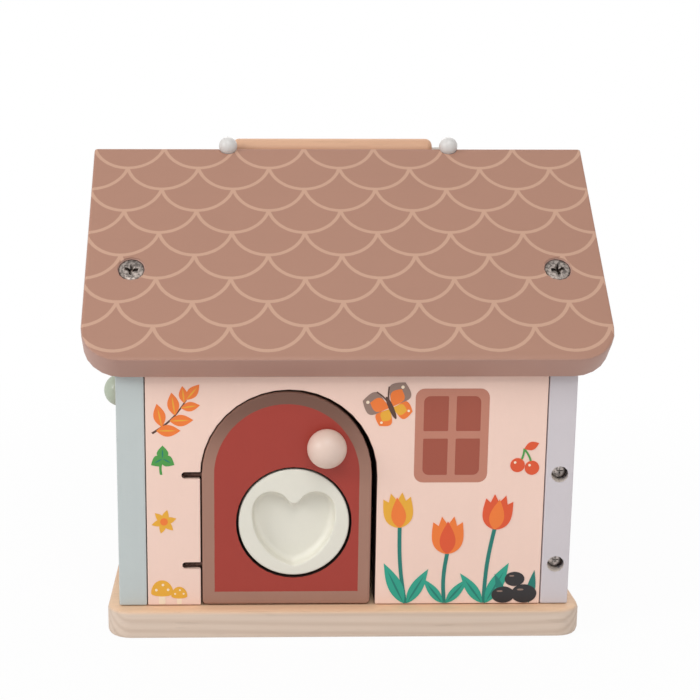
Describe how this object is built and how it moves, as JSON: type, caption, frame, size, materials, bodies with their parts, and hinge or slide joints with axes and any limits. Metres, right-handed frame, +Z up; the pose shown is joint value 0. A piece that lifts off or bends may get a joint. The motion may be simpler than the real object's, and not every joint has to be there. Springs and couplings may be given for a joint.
{
  "type": "wooden activity house toy",
  "caption": "Small wooden activity house with hinged doors, a turning heart disc that works a latch, and a carrying grip on the roof ridge.",
  "frame": {"origin": "under the middle of the base board, on the surface that the house stands on", "axes": "+X to the right seen from the front, +Y from the front to the back, +Z up"},
  "size_m": [0.186, 0.136, 0.1765],
  "materials": {
    "natural_wood": "sanded, clear coat",
    "pink_paint": "satin paint on wood",
    "blue_grey_paint": "satin paint on wood",
    "lilac_grey_paint": "satin paint on wood",
    "roof_paint": "satin paint on wood, lighter printed scallops on top",
    "red_paint": "satin paint on wood, brown frame round a red panel",
    "white_paint": "smooth satin paint on wood",
    "beige_paint": "satin paint on wood",
    "green_paint": "satin paint on wood",
    "white_plastic": "smooth",
    "white_cord": "round braided cord",
    "dark_steel": "dark plated",
    "steel": "plated"
  },
  "bodies": {
    "house": {"base_board": "natural_wood", "front_wall": "pink_paint", "back_wall": "pink_paint", "left_wall": "blue_grey_paint", "right_wall": "lilac_grey_paint", "roof_front": "roof_paint", "roof_back": "roof_paint", "roof_screw_front_left": "steel", "roof_screw_front_right": "steel", "roof_screw_back_left": "steel", "roof_screw_back_right": "steel", "base_screw_front_1": "steel", "base_screw_front_2": "steel", "base_screw_back_1": "steel", "base_screw_back_2": "steel", "base_screw_left_1": "steel", "base_screw_left_2": "steel", "base_screw_right_1": "steel", "base_screw_right_2": "steel", "front_hinge_anchor_lower": "steel", "front_hinge_anchor_upper": "steel", "left_hinge_anchor_lower": "steel", "left_hinge_anchor_upper": "steel", "right_hinge_anchor_lower": "steel", "right_hinge_anchor_upper": "steel", "handle_cord_tail_left": "white_cord", "handle_cord_tail_right": "white_cord"},
    "front_door_leaf": {"front_door": "red_paint", "front_knob": "beige_paint", "front_knob_screw": "steel", "front_hinge_link_lower": "dark_steel", "front_hinge_link_upper": "dark_steel"},
    "disc_and_latch": {"heart_disc": "white_paint", "latch_bar": "natural_wood", "latch_screw": "steel"},
    "left_door_leaf": {"left_door": "red_paint", "left_knob": "green_paint", "left_knob_screw": "steel", "left_hinge_link_lower": "dark_steel", "left_hinge_link_upper": "dark_steel"},
    "right_door_leaf": {"right_door": "red_paint", "right_knob": "beige_paint", "right_knob_screw": "steel", "right_hinge_link_lower": "dark_steel", "right_hinge_link_upper": "dark_steel"},
    "handle": {"handle_grip": "natural_wood", "handle_cord": "white_cord", "handle_bead_left": "white_plastic", "handle_bead_right": "white_plastic"}
  },
  "joints": [
    {"name": "front_door_hinge", "type": "hinge", "parent": "house", "child": "front_door_leaf", "pos_m": [-0.05735, -0.0555, 0.05], "axis": [0, 0, -1], "range_deg": [0, 95]},
    {"name": "heart_disc_turn", "type": "hinge", "parent": "front_door_leaf", "child": "disc_and_latch", "pos_m": [-0.01847, -0.054, 0.0419], "axis": [0, 1, 0], "range_deg": [-150, 150]},
    {"name": "left_door_hinge", "type": "hinge", "parent": "house", "child": "left_door_leaf", "pos_m": [-0.0795, 0.04365, 0.05], "axis": [0, 0, -1], "range_deg": [0, 95]},
    {"name": "right_door_hinge", "type": "hinge", "parent": "house", "child": "right_door_leaf", "pos_m": [0.0795, -0.04365, 0.05], "axis": [0, 0, -1], "range_deg": [0, 95]},
    {"name": "handle_swing", "type": "hinge", "parent": "house", "child": "handle", "pos_m": [0, 0, 0.17305], "axis": [1, 0, 0], "range_deg": [0, 208]}
  ]
}
